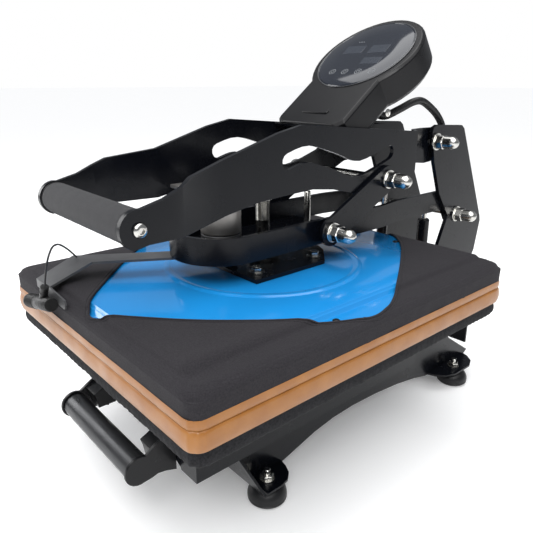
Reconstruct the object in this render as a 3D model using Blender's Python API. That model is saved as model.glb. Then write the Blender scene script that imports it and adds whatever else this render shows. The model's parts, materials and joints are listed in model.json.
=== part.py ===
"""Auto-opening clam heat press with a pull-out lower platen.

Metres, +Z up. The press stands on z = 0 and faces -Y. X is to the right of a
person standing at the handle. All outlines are given about the centre of the
platens and shifted by ORIGIN_Y at the end, so that the origin lies on the floor
under the middle of the whole press.
"""
import bpy
import bmesh
import math
from mathutils import Vector

for old in list(bpy.data.objects):
    bpy.data.objects.remove(old, do_unlink=True)

# ---------------------------------------------------------------- driving sizes
ORIGIN_Y = 0.0905          # platen centre to the middle of the whole press
PLATEN_X = 0.2050          # half width over the covers
PLATEN_Y = 0.2487          # half depth over the covers
Z_LOWER = 0.2038           # pressing face of the lower cover
Z_UPPER = 0.2042           # pressing face of the upper cover
P1 = (0.050, 0.288)        # link to lift arm
P2 = (0.156, 0.342)        # link to handle
P3 = (0.286, 0.381)        # handle to uprights
P4 = (0.364, 0.2605)       # lift arm to uprights
SPRING_Y = 0.305           # gas spring axis
SPRING_FOOT_Z = 0.105
SPRING_X = 0.040
ARM_Z0 = 0.2705
ARM_Z1 = 0.3020
ARM_OUT = 0.0600           # outer half width of the lift arm in front
ARM_REAR_OUT = 0.0535
ARM_FRONT_Y = -0.0685      # centre of the round front of the arm
FLAT = 0.006               # flat bar thickness
HANDLE_OUT = 0.0690        # outer face of the handle plates in the middle
HANDLE_WIDE = 0.0963       # outer face at the grip
HANDLE_REAR = 0.0510       # outer face at the hinge
GRIP = (-0.2236, 0.3432)
GRIP_HALF = 0.0903
UPRIGHT_IN = 0.0540
UPRIGHT_OUT = 0.0600
SIDE_IN = 0.1020
SIDE_OUT = 0.1070
FOOT_X = 0.1200
FOOT_Y = (-0.0974, 0.3050)
TRAY_OUT = 0.1205
TRAY_Y0 = -0.1940
TRAY_Y1 = 0.1900
TUBE = (-0.2370, 0.0890)   # drawer handle axis
FACE_CENTRE = Vector((0.0, 0.186, 0.500))
FACE_TILT = math.radians(37.0)

# ---------------------------------------------------------------- materials
def material(name, rgb, metallic, rough):
    mat = bpy.data.materials.new(name)
    mat.use_nodes = True
    mat.diffuse_color = (rgb[0], rgb[1], rgb[2], 1.0)
    shader = mat.node_tree.nodes["Principled BSDF"]
    shader.inputs["Base Color"].default_value = (rgb[0], rgb[1], rgb[2], 1.0)
    shader.inputs["Metallic"].default_value = metallic
    shader.inputs["Roughness"].default_value = rough
    return mat


COLOURS = {
    "black": ((0.012, 0.013, 0.016), 0.0, 0.25),
    "blue": ((0.022, 0.27, 0.66), 0.0, 0.25),
    "steel": ((0.55, 0.55, 0.56), 1.0, 0.3),
    "zinc": ((0.42, 0.42, 0.42), 1.0, 0.45),
    "rubber": ((0.02, 0.02, 0.02), 0.0, 0.6),
    "foam": ((0.035, 0.035, 0.038), 0.0, 0.95),
    "cloth": ((0.06, 0.06, 0.065), 0.0, 0.95),
    "ptfe": ((0.42, 0.17, 0.06), 0.0, 0.4),
    "silicone": ((0.55, 0.08, 0.05), 0.0, 0.6),
    "aluminium": ((0.35, 0.36, 0.38), 1.0, 0.35),
    "plastic": ((0.03, 0.03, 0.032), 0.0, 0.5),
    "glass": ((0.02, 0.025, 0.035), 0.0, 0.08),
    "grey": ((0.22, 0.22, 0.22), 0.0, 0.5),
}


# ---------------------------------------------------------------- helpers
def place(axis, u, v, w):
    """Point from two outline coordinates and one along the axis."""
    if axis == "x":
        return (w, u, v)
    if axis == "y":
        return (u, w, v)
    return (u, v, w)


def arc(cu, cv, r, a0, a1, n):
    pts = []
    for i in range(n + 1):
        a = math.radians(a0 + (a1 - a0) * i / n)
        pts.append((cu + r * math.cos(a), cv + r * math.sin(a)))
    return pts


def circle(cu, cv, r, n):
    return arc(cu, cv, r, 0.0, 360.0 * (n - 1) / n, n - 1)


def prism(axis, pts, lo, hi):
    bm = bmesh.new()
    low = [bm.verts.new(place(axis, u, v, lo)) for u, v in pts]
    top = [bm.verts.new(place(axis, u, v, hi)) for u, v in pts]
    bm.faces.new(low)
    bm.faces.new(top)
    n = len(pts)
    for i in range(n):
        j = (i + 1) % n
        bm.faces.new((low[i], low[j], top[j], top[i]))
    bmesh.ops.recalc_face_normals(bm, faces=bm.faces)
    return bm


def loft(rings, close_start=True, close_end=True):
    """Closed skin through rings of the same number of points."""
    bm = bmesh.new()
    rows = [[bm.verts.new(p) for p in ring] for ring in rings]
    n = len(rows[0])
    for k in range(len(rows) - 1):
        for i in range(n):
            j = (i + 1) % n
            bm.faces.new((rows[k][i], rows[k][j], rows[k + 1][j], rows[k + 1][i]))
    if close_start:
        bm.faces.new(rows[0])
    if close_end:
        bm.faces.new(rows[-1])
    bmesh.ops.recalc_face_normals(bm, faces=bm.faces)
    return bm


def hoop(rings):
    """Closed skin through rings that come back to the first one."""
    bm = bmesh.new()
    rows = [[bm.verts.new(p) for p in ring] for ring in rings]
    n = len(rows[0])
    m = len(rows)
    for k in range(m):
        for i in range(n):
            j = (i + 1) % n
            nxt = rows[(k + 1) % m]
            bm.faces.new((rows[k][i], rows[k][j], nxt[j], nxt[i]))
    bmesh.ops.recalc_face_normals(bm, faces=bm.faces)
    return bm


def turned(axis, cu, cv, steps, n=24):
    """Turned piece: steps of (position, radius, kind); kind 1 is hexagonal."""
    rings = []
    for pos, r, kind in steps:
        ring = []
        for i in range(n):
            a = 2.0 * math.pi * i / n
            rad = r
            if kind == 1:
                rad = r / math.cos(a % (math.pi / 3.0) - math.pi / 6.0)
            ring.append(place(axis, cu + rad * math.cos(a), cv + rad * math.sin(a), pos))
        rings.append(ring)
    return loft(rings)


def box(x0, x1, y0, y1, z0, z1):
    return prism("z", [(x0, y0), (x1, y0), (x1, y1), (x0, y1)], z0, z1)


def make(name, bm, colour, pivot=(0.0, 0.0, 0.0), smooth=False):
    mesh = bpy.data.meshes.new(name)
    shift = Vector(pivot)
    for v in bm.verts:
        v.co -= shift
    bm.to_mesh(mesh)
    bm.free()
    ob = bpy.data.objects.new(name, mesh)
    bpy.context.collection.objects.link(ob)
    ob.location = shift
    if colour not in bpy.data.materials:
        rgb, metallic, rough = COLOURS[colour]
        material(colour, rgb, metallic, rough)
    mesh.materials.append(bpy.data.materials[colour])
    if smooth:
        mesh.shade_smooth()
        mesh.set_sharp_from_angle(angle=math.radians(35.0))
    return ob


def combine(ob, bm, operation):
    """Cut, join or intersect one object with a loose shape."""
    mesh = bpy.data.meshes.new("tool")
    bm.to_mesh(mesh)
    bm.free()
    tool = bpy.data.objects.new("tool", mesh)
    bpy.context.collection.objects.link(tool)
    mod = ob.modifiers.new("cut", "BOOLEAN")
    mod.operation = operation
    mod.solver = "EXACT"
    mod.object = tool
    tool.hide_render = True
    tool.display_type = "WIRE"
    bpy.context.view_layer.update()
    graph = bpy.context.evaluated_depsgraph_get()
    baked = bpy.data.meshes.new_from_object(ob.evaluated_get(graph))
    ob.modifiers.clear()
    before = ob.data
    ob.data = baked
    baked.name = before.name
    bpy.data.meshes.remove(before)
    bpy.data.objects.remove(tool, do_unlink=True)
    clean = bmesh.new()
    clean.from_mesh(baked)
    bmesh.ops.remove_doubles(clean, verts=clean.verts, dist=0.00002)
    bmesh.ops.dissolve_degenerate(clean, edges=clean.edges, dist=0.00002)
    clean.to_mesh(baked)
    clean.free()
    return ob


def cut(ob, bm):
    return combine(ob, bm, "DIFFERENCE")


def join(ob, bm):
    return combine(ob, bm, "UNION")


def hole(ob, axis, u, v, r, lo, hi, n=20):
    return cut(ob, prism(axis, circle(u, v, r, n), lo, hi))


def mirrored(pts, sign):
    return [(sign * u, v) for u, v in pts]


def span(sign, a, b):
    return (min(sign * a, sign * b), max(sign * a, sign * b))


def nut_steps(start, sign):
    """Washer, hexagon and dome of one acorn nut, going outward along X."""
    table = [
        (0.0000, 0.0125, 0), (0.0030, 0.0125, 0), (0.0030, 0.0096, 1),
        (0.0145, 0.0096, 1), (0.0145, 0.0092, 0), (0.0260, 0.0092, 0),
        (0.0315, 0.0078, 0), (0.0350, 0.0046, 0), (0.0362, 0.0012, 0),
    ]
    return [(sign * (start + p), r, k) for p, r, k in table]


def offset_path(pts, half, sub=4, cap=6):
    """Round-ended band of constant width about a smooth open path."""
    fine = []
    n = len(pts)
    for i in range(n - 1):
        a = Vector(pts[max(i - 1, 0)])
        b = Vector(pts[i])
        c = Vector(pts[i + 1])
        d = Vector(pts[min(i + 2, n - 1)])
        for k in range(sub):
            t = k / sub
            p = 0.5 * ((2 * b) + (c - a) * t + (2 * a - 5 * b + 4 * c - d) * t * t
                       + (3 * b - a - 3 * c + d) * t * t * t)
            fine.append(p)
    fine.append(Vector(pts[-1]))
    left = []
    right = []
    m = len(fine)
    for i in range(m):
        t = fine[min(i + 1, m - 1)] - fine[max(i - 1, 0)]
        t.normalize()
        nrm = Vector((-t.y, t.x))
        left.append(fine[i] + nrm * half)
        right.append(fine[i] - nrm * half)
    out = [tuple(p) for p in right]
    end = fine[-1] - fine[-2]
    a_end = math.degrees(math.atan2(end.y, end.x))
    out += arc(fine[-1].x, fine[-1].y, half, a_end - 90, a_end + 90, cap)[1:-1]
    out += [tuple(p) for p in reversed(left)]
    beg = fine[0] - fine[1]
    a_beg = math.degrees(math.atan2(beg.y, beg.x))
    out += arc(fine[0].x, fine[0].y, half, a_beg - 90, a_beg + 90, cap)[1:-1]
    return out


def rounded(hx, hy, r, corner=4, side=5):
    """Rounded rectangle with corner arcs and extra points on the sides."""
    pts = []
    centres = [(hx - r, -hy + r, -90), (hx - r, hy - r, 0),
               (-hx + r, hy - r, 90), (-hx + r, -hy + r, 180)]
    for q in range(4):
        cu, cv, a0 = centres[q]
        pts += arc(cu, cv, r, a0, a0 + 90, corner)
        nu, nv, n0 = centres[(q + 1) % 4]
        a = Vector(pts[-1])
        b = Vector((nu + r * math.cos(math.radians(n0)), nv + r * math.sin(math.radians(n0))))
        for k in range(1, side):
            p = a.lerp(b, k / side)
            pts.append((p.x, p.y))
    return pts


def tube(name, points, radius, colour, sides=3, pivot=(0.0, 0.0, 0.0)):
    curve = bpy.data.curves.new(name, "CURVE")
    curve.dimensions = "3D"
    curve.bevel_depth = radius
    curve.bevel_resolution = sides
    curve.use_fill_caps = True
    spline = curve.splines.new("POLY")
    spline.points.add(len(points) - 1)
    for i, p in enumerate(points):
        spline.points[i].co = (p[0] - pivot[0], p[1] - pivot[1], p[2] - pivot[2], 1.0)
    ob = bpy.data.objects.new(name, curve)
    bpy.context.collection.objects.link(ob)
    ob.location = pivot
    if colour not in bpy.data.materials:
        rgb, metallic, rough = COLOURS[colour]
        material(colour, rgb, metallic, rough)
    curve.materials.append(bpy.data.materials[colour])
    return ob


PIV3 = (0.0, P3[0], P3[1])
PIV4 = (0.0, P4[0], P4[1])
PIV2 = (0.0, P2[0], P2[1])

# ---------------------------------------------------------------- base
SIDE_OUTLINE = [
    (-0.1140, 0.0240), (-0.0600, 0.0240), (-0.0350, 0.0310), (-0.0050, 0.0395),
    (0.0300, 0.0452), (0.0700, 0.0470), (0.1200, 0.0450), (0.1700, 0.0400),
    (0.2150, 0.0325), (0.2450, 0.0250), (0.2600, 0.0240), (0.3580, 0.0240),
    (0.3690, 0.0300), (0.3050, 0.0720), (0.2700, 0.1130), (0.2600, 0.1150),
    (-0.0900, 0.1150), (-0.1120, 0.1060), (-0.1290, 0.0740),
]
FRONT_TAB = [(0.1040, -0.1138), (0.1400, -0.1138), (0.1400, -0.0920), (0.1370, -0.0800),
             (0.1290, -0.0710), (0.1180, -0.0660), (0.1040, -0.0630)]
REAR_TAB = [(0.1040, 0.2520), (0.1180, 0.2570), (0.1300, 0.2680), (0.1370, 0.2850),
            (0.1370, 0.3270), (0.1300, 0.3430), (0.1180, 0.3530), (0.1040, 0.3580)]
for tag, s in (("l", -1), ("r", 1)):
    lo, hi = span(s, SIDE_IN, SIDE_OUT)
    side = make("base_side_plate_" + tag, prism("x", SIDE_OUTLINE, lo, hi), "black")
    join(side, prism("z", mirrored(FRONT_TAB, s), 0.0240, 0.0270))
    join(side, prism("z", mirrored(REAR_TAB, s), 0.0240, 0.0270))
    for y in FOOT_Y:
        hole(side, "z", s * FOOT_X, y, 0.0045, 0.02, 0.03, 12)
    for row, y in enumerate(FOOT_Y):
        foot = turned("z", s * FOOT_X, y, [
            (0.0000, 0.0200, 0), (0.0030, 0.0232, 0), (0.0080, 0.0235, 0),
            (0.0150, 0.0205, 0), (0.0195, 0.0150, 0), (0.0215, 0.0090, 0),
            (0.0237, 0.0085, 0), (0.0237, 0.0040, 0), (0.0273, 0.0040, 0),
            (0.0273, 0.0070, 1), (0.0330, 0.0070, 1), (0.0330, 0.0040, 0),
            (0.0400, 0.0040, 0)], 18)
        make("foot_" + ("front_", "rear_")[row] + tag, foot, "rubber", smooth=True)
    fixed = [(s * 0.1073, 0.0840), (s * 0.1150, 0.0840), (s * 0.1150, 0.0856),
             (s * 0.1089, 0.0856), (s * 0.1089, 0.1044), (s * 0.1150, 0.1044),
             (s * 0.1150, 0.1060), (s * 0.1073, 0.1060)]
    make("slide_rail_fixed_" + tag, prism("y", fixed, -0.1050, 0.2500), "zinc")
    post = [(0.2850, 0.0850), (0.3750, 0.0850), (0.4411, 0.1840), (0.4498, 0.2354),
            (0.4470, 0.2440), (0.3630, 0.3960), (0.3550, 0.4014), (0.2860, 0.4050),
            (0.2780, 0.4020), (0.2750, 0.3950), (0.2875, 0.3500), (0.2950, 0.3330),
            (0.3100, 0.3000), (0.3420, 0.2597), (0.3229, 0.2163)]
    lo, hi = span(s, UPRIGHT_IN, UPRIGHT_OUT)
    up = make("upright_" + tag, prism("x", post, lo, hi), "black")
    for p, r in ((P3, 0.0065), (P4, 0.0065)):
        hole(up, "x", p[0], p[1], r, lo - 0.01, hi + 0.01)
    lo, hi = span(s, 0.0340, 0.0560)
    join(up, prism("x", circle(SPRING_Y, SPRING_FOOT_Z, 0.0040, 14), lo, hi))

ring_a = [(-0.1400, -0.1180, 0.0240), (0.1400, -0.1180, 0.0240),
          (0.1180, -0.1370, 0.0710), (-0.1180, -0.1370, 0.0710)]
ring_b = [(x, y + 0.0028, z + 0.0011) for x, y, z in ring_a]
make("base_front_plate", loft([ring_a, ring_b]), "black")
channel = [(0.2720, 0.0620), (0.2760, 0.0620), (0.2760, 0.0797), (0.3700, 0.0797),
           (0.3700, 0.0400), (0.3740, 0.0400), (0.3740, 0.0847), (0.2720, 0.0847)]
make("base_rear_plate", prism("x", channel, -0.1017, 0.1017), "black")

for label, p, sides in (("upper_axle", P3, 0.0603), ("lower_axle", P4, 0.0603)):
    right = nut_steps(sides, 1)
    left = nut_steps(sides, -1)
    steps = list(reversed(left)) + [(-sides, 0.0055, 0), (sides, 0.0055, 0)] + right
    make(label, turned("x", p[0], p[1], steps, 18), "steel", smooth=True)

inlet = make("power_inlet_box", box(-0.0500, 0.0500, 0.3220, 0.3720, 0.0850, 0.1350), "plastic")
cut(inlet, box(0.0080, 0.0320, 0.3620, 0.3800, 0.0980, 0.1260))
ROCKER = (0.3675, 0.1120)
rock = []
for dy, dz in ((-0.0020, -0.0125), (0.0065, -0.0125), (0.0047, 0.0),
               (0.0065, 0.0125), (-0.0020, 0.0125)):
    a = math.radians(8.0)
    rock.append((ROCKER[0] + dy * math.cos(a) - dz * math.sin(a),
                 ROCKER[1] + dy * math.sin(a) + dz * math.cos(a)))
make("power_rocker", prism("x", rock, 0.0088, 0.0312), "rubber",
     pivot=(0.0200, ROCKER[0], ROCKER[1]))

# ---------------------------------------------------------------- gas springs
for tag, s in (("l", -1), ("r", 1)):
    x = s * SPRING_X
    foot_pivot = (0.0, SPRING_Y, SPRING_FOOT_Z)
    body = turned("z", x, SPRING_Y, [
        (0.0955, 0.0060, 0), (0.0990, 0.0078, 0), (0.1130, 0.0078, 0), (0.1160, 0.0090, 0),
        (0.2560, 0.0090, 0), (0.2580, 0.0075, 0)], 20)
    cyl = make("spring_cylinder_" + tag, body, "black", smooth=True)
    hole(cyl, "x", SPRING_Y, SPRING_FOOT_Z, 0.0045, x - 0.02, x + 0.02, 12)
    hole(cyl, "z", x, SPRING_Y, 0.0044, 0.1700, 0.2700, 12)
    rod = turned("z", x, SPRING_Y, [
        (0.1760, 0.0040, 0), (0.2690, 0.0040, 0), (0.2730, 0.0052, 0),
        (0.2880, 0.0052, 0), (0.2900, 0.0040, 0)], 16)
    make("spring_rod_" + tag, rod, "steel", smooth=True)
    for ob in (cyl, bpy.data.objects["spring_rod_" + tag]):
        for v in ob.data.vertices:
            v.co -= Vector(foot_pivot)
        ob.location = foot_pivot

# ---------------------------------------------------------------- drawer
tray = make("drawer_tray", box(-TRAY_OUT, TRAY_OUT, TRAY_Y0, TRAY_Y1, 0.0730, 0.1500), "black")
cut(tray, box(-0.1175, 0.1175, TRAY_Y0 + 0.003, TRAY_Y1 + 0.01, 0.0500, 0.1470))
arch = [(-0.0950, 0.0600), (0.0950, 0.0600), (0.0900, 0.0760), (0.0620, 0.0890),
        (0.0300, 0.0960), (0.0, 0.0980), (-0.0300, 0.0960), (-0.0620, 0.0890),
        (-0.0900, 0.0760)]
cut(tray, prism("y", arch, TRAY_Y0 - 0.01, TRAY_Y0 + 0.0045))
for y in (-0.1400, 0.1400):
    join(tray, box(-0.1700, 0.1700, y - 0.0200, y + 0.0200, 0.1499, 0.1540))
for x in (-0.1550, 0.1550):
    for y in (-0.1400, 0.1400):
        join(tray, prism("z", circle(x, y, 0.0100, 16), 0.1530, 0.1700))
for tag, s in (("l", -1), ("r", 1)):
    moving = [(s * 0.1096, 0.0864), (s * 0.1172, 0.0864), (s * 0.1172, 0.1036),
              (s * 0.1096, 0.1036), (s * 0.1096, 0.1022), (s * 0.1156, 0.1022),
              (s * 0.1156, 0.0878), (s * 0.1096, 0.0878)]
    make("slide_rail_moving_" + tag, prism("y", moving, -0.1880, 0.1880), "zinc")
    plate = arc(TUBE[0], TUBE[1], 0.0165, 62, 285, 14)
    plate += [(-0.2240, 0.0738), (-0.2170, 0.0755), (-0.2080, 0.0740),
              (-0.1943, 0.0690), (-0.1943, 0.1180), (-0.2080, 0.1160), (-0.2200, 0.1095)]
    lo, hi = span(s, 0.0790, 0.0830)
    arm = make("drawer_handle_bracket_" + tag, prism("x", plate, lo, hi), "plastic")
    block = [(-0.1943, 0.0860), (-0.1943, 0.1120), (-0.2080, 0.1120), (-0.2215, 0.1060),
             (-0.2190, 0.0980), (-0.2170, 0.0860)]
    lo, hi = span(s, 0.0560, 0.0800)
    join(arm, prism("x", block, lo, hi))
grip_rings = []
for i in range(25):
    x = -0.0785 + 0.1570 * i / 24
    inside = abs(x) < 0.0660
    wave = 0.0
    if inside:
        wave = 0.5 + 0.5 * math.cos((x / 0.0220) * 2.0 * math.pi)
    ring = []
    for k in range(14):
        a = 2.0 * math.pi * k / 14
        low = max(0.0, -math.sin(a)) ** 3
        r = 0.0143 - 0.0026 * low * wave
        ring.append((x, TUBE[0] + r * math.cos(a), TUBE[1] + r * math.sin(a)))
    grip_rings.append(ring)
make("drawer_handle_tube", loft(grip_rings), "aluminium", smooth=True)

make("lower_platen", prism("z", rounded(0.2018, 0.2455, 0.012, 4, 1), 0.1703, 0.1890), "aluminium")
make("silicone_pad", prism("z", rounded(0.2022, 0.2459, 0.012, 4, 1), 0.1893, 0.2013), "silicone")


def cap(half_x, half_y, z_open, z_face, wall, inner_r, n_corner=4):
    """Shallow cap: a flat sheet with a turned edge, open on one side."""
    d = wall if z_face > z_open else -wall
    outer = rounded(half_x, half_y, inner_r + wall, n_corner, 4)
    inner = rounded(half_x - wall, half_y - wall, inner_r, n_corner, 4)
    rings = [
        [(u, v, z_face - d) for u, v in inner],
        [(u, v, z_open) for u, v in inner],
        [(u, v, z_open) for u, v in outer],
        [(u, v, z_face) for u, v in outer],
    ]
    return loft(rings)


make("lower_cover_ptfe", cap(PLATEN_X, PLATEN_Y, 0.1840, Z_LOWER, 0.0020, 0.012), "ptfe")
outer = rounded(0.2037, 0.2474, 0.0134, 4, 4)
inner = rounded(0.2023, 0.2460, 0.0120, 4, 4)
turn = rounded(0.1900, 0.2330, 0.0120, 4, 4)
skirt = hoop([
    [(u, v, 0.1837) for u, v in outer], [(u, v, 0.1680) for u, v in outer],
    [(u, v, 0.1660) for u, v in inner], [(u, v, 0.1660) for u, v in turn],
    [(u, v, 0.1676) for u, v in turn], [(u, v, 0.1698) for u, v in inner],
    [(u, v, 0.1837) for u, v in inner]])
make("lower_cover_skirt", skirt, "cloth")

# ---------------------------------------------------------------- lift arm
def arm_plan(out, rear_out, end_y, n):
    right = [(rear_out, end_y), (rear_out, 0.2100), (out, 0.1700), (out, ARM_FRONT_Y)]
    front = arc(0.0, ARM_FRONT_Y, out, 0, -180, n)[1:]
    left = [(-out, 0.1700), (-rear_out, 0.2100), (-rear_out, end_y)]
    return right + front + left


outer = arm_plan(ARM_OUT, ARM_REAR_OUT, 0.3800, 24)
inner = arm_plan(ARM_OUT - FLAT, ARM_REAR_OUT - FLAT, 0.3800, 24)
band = outer + list(reversed(inner))
arm = make("lift_arm", prism("z", band, 0.2400, ARM_Z1), "black")
profile = [(-0.1400, ARM_Z0), (0.3350, ARM_Z0), (0.3480, 0.2510), (0.3560, 0.2465),
           (0.3640, 0.2450), (0.3720, 0.2470), (0.3780, 0.2530), (0.3795, 0.2605),
           (0.3795, 0.2880), (0.3700, 0.3100), (-0.1400, 0.3100)]
combine(arm, prism("x", profile, -0.1, 0.1), "INTERSECT")
web = [(0.0545, 0.1100), (0.0545, ARM_FRONT_Y)]
web += arc(0.0, ARM_FRONT_Y, 0.0545, 0, -180, 24)[1:]
web += [(-0.0545, 0.1100)]
join(arm, prism("z", web, ARM_Z0, ARM_Z0 + 0.006))
hole(arm, "z", 0.0, 0.0, 0.0097, 0.26, 0.29)
hole(arm, "z", 0.0, 0.0800, 0.0052, 0.26, 0.29)
hole(arm, "x", P4[0], P4[1], 0.0060, -0.07, 0.07)
for v in arm.data.vertices:
    v.co -= Vector(PIV4)
arm.location = PIV4
coil = turned("z", 0.0, -0.0660, [
    (0.2768, 0.0235, 0), (0.2775, 0.0245, 0), (0.2935, 0.0245, 0), (0.2942, 0.0238, 0)], 32)
make("electromagnet", coil, "zinc", smooth=True)
screw = turned("z", 0.0, 0.0, [
    (0.2548, 0.0080, 0), (0.2558, 0.0090, 0), (0.3250, 0.0090, 0), (0.3250, 0.0120, 0),
    (0.3320, 0.0120, 0), (0.3320, 0.0240, 0), (0.3350, 0.0260, 0), (0.3640, 0.0260, 0),
    (0.3690, 0.0220, 0), (0.3700, 0.0100, 0)], 24)
make("pressure_screw", screw, "steel", smooth=True)

# ---------------------------------------------------------------- heated head
head = [(-0.0645, -0.0650), (0.0645, -0.0650), (0.0645, 0.0487), (0.0330, 0.0800),
        (0.0180, 0.0880), (0.0090, 0.0905), (-0.0090, 0.0905), (-0.0180, 0.0880),
        (-0.0330, 0.0800), (-0.0645, 0.0487)]
plate = make("head_plate", prism("z", head, 0.2447, 0.2498), "black")
BOLTS = [(-0.0450, -0.0480), (0.0450, -0.0480), (-0.0450, 0.0480), (0.0450, 0.0480)]
for i, (x, y) in enumerate(BOLTS):
    hole(plate, "z", x, y, 0.0045, 0.24, 0.26, 12)
    bolt = turned("z", x, y, [
        (0.2160, 0.0036, 0), (0.2170, 0.0040, 0), (0.2501, 0.0040, 0), (0.2501, 0.0085, 0),
        (0.2517, 0.0085, 0), (0.2517, 0.0062, 1), (0.2568, 0.0062, 1), (0.2576, 0.0052, 0)], 18)
    make("head_bolt_%d" % (i + 1), bolt, "steel", smooth=True)
hole(plate, "z", 0.0, 0.0800, 0.0040, 0.24, 0.26, 12)
hub = turned("z", 0.0, 0.0, [
    (0.2501, 0.0140, 0), (0.2535, 0.0140, 0), (0.2535, 0.0230, 0), (0.2570, 0.0230, 0),
    (0.2570, 0.0098, 0), (0.2516, 0.0098, 0)], 24)
make("screw_collar", hub, "steel", smooth=True)
guide = turned("z", 0.0, 0.0800, [
    (0.2450, 0.0036, 0), (0.2501, 0.0036, 0), (0.2501, 0.0075, 1), (0.2550, 0.0075, 1),
    (0.2550, 0.0045, 0), (0.3240, 0.0045, 0), (0.3250, 0.0036, 0)], 24)
make("guide_rod", guide, "steel", smooth=True)

heater = make("heating_platen", prism("z", rounded(0.1985, 0.2422, 0.010, 4, 1),
                                      0.2063, 0.2260), "aluminium")
for x, y in BOLTS:
    hole(heater, "z", x, y, 0.0045, 0.2150, 0.2300, 12)

plateau = rounded(0.1640, 0.2290, 0.020, 4, 5)
flange = rounded(0.2003, 0.2440, 0.012, 4, 5)
disc = [(0.123 * u / math.hypot(u, v), 0.123 * v / math.hypot(u, v)) for u, v in plateau]


def level(ring, z):
    return [(u, v, z) for u, v in ring]


step_out = rounded(0.1690, 0.2340, 0.022, 4, 5)
disc_out = [(1.035 * u, 1.035 * v) for u, v in disc]
T = 0.0013
inner_flange = rounded(0.1990, 0.2427, 0.0105, 4, 5)
lid = [
    level(inner_flange, 0.2130), level(flange, 0.2130), level(flange, 0.2326),
    level(rounded(0.1985, 0.2422, 0.011, 4, 5), 0.2350), level(step_out, 0.2350),
    level(plateau, 0.2425), level(disc_out, 0.2427), level(disc, 0.2443),
    level([(0.5 * u, 0.5 * v) for u, v in disc], 0.2444)]
under = [
    level([(0.5 * u, 0.5 * v) for u, v in disc], 0.2444 - T), level(disc, 0.2443 - T),
    level(disc_out, 0.2427 - T), level(plateau, 0.2425 - T), level(step_out, 0.2350 - T),
    level(inner_flange, 0.2330)]
bm = bmesh.new()
rows = [[bm.verts.new(p) for p in ring] for ring in lid]
rows_in = [[bm.verts.new(p) for p in ring] for ring in under]
count = len(rows[0])
for chain in (rows, rows_in, [rows_in[-1], rows[0]]):
    for k in range(len(chain) - 1):
        for i in range(count):
            j = (i + 1) % count
            bm.faces.new((chain[k][i], chain[k][j], chain[k + 1][j], chain[k + 1][i]))
bm.faces.new(rows[-1])
bm.faces.new(rows_in[0])
bmesh.ops.recalc_face_normals(bm, faces=bm.faces)
cover = make("blue_cover", bm, "blue", smooth=True)
for x, y in BOLTS:
    hole(cover, "z", x, y, 0.0046, 0.24, 0.26, 12)
hole(cover, "z", 0.0, 0.0800, 0.0046, 0.2435, 0.26, 12)

make("upper_cover_ptfe", cap(PLATEN_X, PLATEN_Y, 0.2126, Z_UPPER, 0.0018, 0.012), "ptfe")

# elastic top cover: four corner pockets joined by a narrow rim
OPENING = [
    (0.0120, -0.2440), (0.0370, -0.2290), (0.1020, -0.1730), (0.1530, -0.1130),
    (0.1850, -0.0620), (0.2000, -0.0200), (0.1900, 0.0240), (0.1280, 0.1225),
    (0.0760, 0.1970), (0.0380, 0.2300), (0.0000, 0.2440), (-0.0380, 0.2300),
    (-0.0760, 0.1970), (-0.1280, 0.1225), (-0.1900, 0.0240), (-0.2000, -0.0150),
    (-0.1850, -0.0620), (-0.1220, -0.1320), (-0.0440, -0.2055), (-0.0150, -0.2300),
]


# inset on the long sides, inset on the short sides, height, corner radius
CLOTH_TOP = [
    (0.0000, 0.0000, 0.2129, 0.0140), (0.0000, 0.0000, 0.2300, 0.0140),
    (0.0012, 0.0012, 0.2330, 0.0130), (0.0040, 0.0040, 0.2362, 0.0120),
    (0.0110, 0.0080, 0.2384, 0.0120), (0.0290, 0.0118, 0.2390, 0.0160),
    (0.0350, 0.0152, 0.2438, 0.0180), (0.0400, 0.0200, 0.2450, 0.0180),
]
CLOTH_LOW = [
    (0.0016, 0.0016, 0.2129, 0.0124), (0.0016, 0.0016, 0.2298, 0.0124),
    (0.0026, 0.0026, 0.2324, 0.0120), (0.0050, 0.0050, 0.2352, 0.0115),
    (0.0114, 0.0084, 0.2372, 0.0120), (0.0293, 0.0121, 0.2378, 0.0160),
    (0.0353, 0.0155, 0.2426, 0.0180), (0.0403, 0.0203, 0.2438, 0.0180),
]


def cloth_ring(row):
    in_x, in_y, z, r = row
    return level(rounded(PLATEN_X - in_x, PLATEN_Y - in_y, r, 5, 3), z)


rings = [cloth_ring(row) for row in reversed(CLOTH_TOP)]
rings += [cloth_ring(row) for row in CLOTH_LOW]
sheet = make("upper_cover_fabric", loft(rings), "cloth", smooth=True)
cut(sheet, prism("z", OPENING, 0.2000, 0.2600))

# ---------------------------------------------------------------- laser marker
DIRX, DIRY = -0.513, -0.858
stations = []
for run, z in ((0.0, 0.2531), (0.0130, 0.2531), (0.0200, 0.2655)):
    cx = DIRX * run
    cy = -0.0440 + DIRY * run
    stations.append(((cx + 0.0107, cy - 0.0064, z), (cx - 0.0107, cy + 0.0064, z)))
stations.append(((-0.0750, -0.1985, 0.2662), (-0.1135, -0.2055, 0.2662)))
stations.append(((-0.0750, -0.2502, 0.2480), (-0.1135, -0.2502, 0.2480)))
rings = []
for (na, fa) in stations:
    rings.append([na, fa, (fa[0], fa[1], fa[2] - 0.0030), (na[0], na[1], na[2] - 0.0030)])
strap_end = [(-0.1135, 0.2478), (-0.1135, 0.2380), (-0.0900, 0.2360), (-0.0340, 0.2340),
             (-0.0300, 0.2400), (-0.0320, 0.2450), (-0.0750, 0.2485)]
bracket = make("laser_strap", loft(rings), "grey")
join(bracket, prism("y", strap_end, -0.2511, -0.2491))
LASER_A = Vector((-0.1180, -0.2602, 0.2215))
LASER_B = Vector((-0.0450, -0.2602, 0.2385))


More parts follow.
